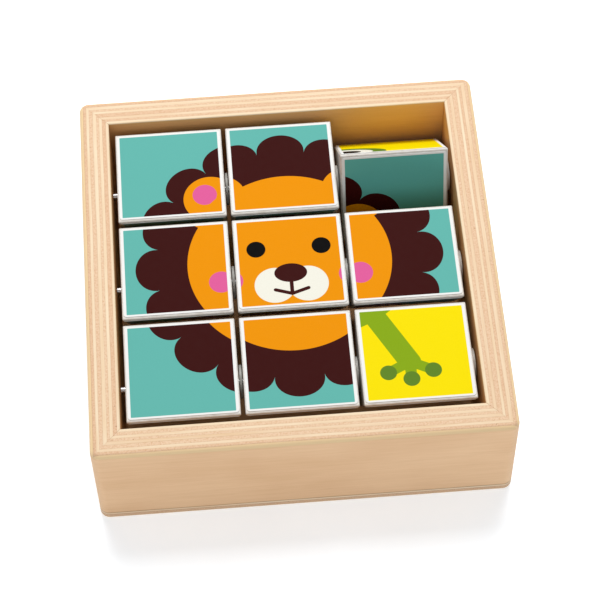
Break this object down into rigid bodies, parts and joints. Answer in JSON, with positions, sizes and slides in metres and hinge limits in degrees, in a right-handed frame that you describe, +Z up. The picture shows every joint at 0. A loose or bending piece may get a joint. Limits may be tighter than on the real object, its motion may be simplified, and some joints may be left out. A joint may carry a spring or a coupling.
{
  "type": "turning block picture puzzle",
  "caption": "Square plywood tray with steel rods that carry rows of three-sided picture blocks, each turning freely to show any of its faces and make up a picture.",
  "frame": {"origin": "centre of the tray's flat underside, on the surface that it stands on", "axes": "+Z up out of the open tray, +Y towards the rear wall along the slightly longer side, +X to the right along the rods"},
  "size_m": [0.15, 0.154, 0.0542],
  "materials": {
    "wall_plywood": "pale birch plywood, sanded, clear matt lacquer",
    "base_plywood": "thin birch plywood, sanded",
    "rod_steel": "bright drawn steel wire",
    "spacer_plastic": "white moulded plastic",
    "block_paint": "solid wood painted white, satin",
    "print_first": "glossy printed paper, lion picture",
    "print_second": "glossy printed paper, frog picture",
    "print_third": "glossy printed paper, bird picture"
  },
  "bodies": {
    "tray": {"base_panel": "base_plywood", "front_wall": "wall_plywood", "right_wall": "wall_plywood", "rear_wall": "wall_plywood", "left_wall": "wall_plywood", "axle_rear": "rod_steel", "spacer_rear_1": "spacer_plastic", "spacer_rear_2": "spacer_plastic", "spacer_rear_3": "spacer_plastic", "axle_middle": "rod_steel", "spacer_middle_1": "spacer_plastic", "spacer_middle_2": "spacer_plastic", "spacer_middle_3": "spacer_plastic", "axle_front": "rod_steel", "spacer_front_1": "spacer_plastic", "spacer_front_2": "spacer_plastic", "spacer_front_3": "spacer_plastic"},
    "rear_left_block": {"block_rear_left": "block_paint", "label_rear_left_1": "print_first", "label_rear_left_2": "print_second", "label_rear_left_3": "print_third"},
    "rear_centre_block": {"block_rear_centre": "block_paint", "label_rear_centre_1": "print_first", "label_rear_centre_2": "print_second", "label_rear_centre_3": "print_third"},
    "rear_right_block": {"block_rear_right": "block_paint", "label_rear_right_1": "print_first", "label_rear_right_2": "print_second", "label_rear_right_3": "print_third"},
    "middle_left_block": {"block_middle_left": "block_paint", "label_middle_left_1": "print_first", "label_middle_left_2": "print_second", "label_middle_left_3": "print_third"},
    "middle_centre_block": {"block_middle_centre": "block_paint", "label_middle_centre_1": "print_first", "label_middle_centre_2": "print_second", "label_middle_centre_3": "print_third"},
    "middle_right_block": {"block_middle_right": "block_paint", "label_middle_right_1": "print_first", "label_middle_right_2": "print_second", "label_middle_right_3": "print_third"},
    "front_left_block": {"block_front_left": "block_paint", "label_front_left_1": "print_first", "label_front_left_2": "print_second", "label_front_left_3": "print_third"},
    "front_centre_block": {"block_front_centre": "block_paint", "label_front_centre_1": "print_first", "label_front_centre_2": "print_second", "label_front_centre_3": "print_third"},
    "front_right_block": {"block_front_right": "block_paint", "label_front_right_1": "print_first", "label_front_right_2": "print_second", "label_front_right_3": "print_third"}
  },
  "joints": [
    {"name": "turn_rear_left", "type": "hinge", "parent": "tray", "child": "rear_left_block", "pos_m": [-0.0418, 0.0424, 0.0317], "axis": [1, 0, 0], "continuous": true},
    {"name": "turn_rear_centre", "type": "hinge", "parent": "tray", "child": "rear_centre_block", "pos_m": [0, 0.0424, 0.0317], "axis": [1, 0, 0], "continuous": true},
    {"name": "turn_rear_right", "type": "hinge", "parent": "tray", "child": "rear_right_block", "pos_m": [0.0418, 0.0424, 0.0317], "axis": [1, 0, 0], "continuous": true},
    {"name": "turn_middle_left", "type": "hinge", "parent": "tray", "child": "middle_left_block", "pos_m": [-0.0418, 0, 0.0317], "axis": [1, 0, 0], "continuous": true},
    {"name": "turn_middle_centre", "type": "hinge", "parent": "tray", "child": "middle_centre_block", "pos_m": [0, 0, 0.0317], "axis": [1, 0, 0], "continuous": true},
    {"name": "turn_middle_right", "type": "hinge", "parent": "tray", "child": "middle_right_block", "pos_m": [0.0418, 0, 0.0317], "axis": [1, 0, 0], "continuous": true},
    {"name": "turn_front_left", "type": "hinge", "parent": "tray", "child": "front_left_block", "pos_m": [-0.0418, -0.0424, 0.0317], "axis": [1, 0, 0], "continuous": true},
    {"name": "turn_front_centre", "type": "hinge", "parent": "tray", "child": "front_centre_block", "pos_m": [0, -0.0424, 0.0317], "axis": [1, 0, 0], "continuous": true},
    {"name": "turn_front_right", "type": "hinge", "parent": "tray", "child": "front_right_block", "pos_m": [0.0418, -0.0424, 0.0317], "axis": [1, 0, 0], "continuous": true}
  ]
}
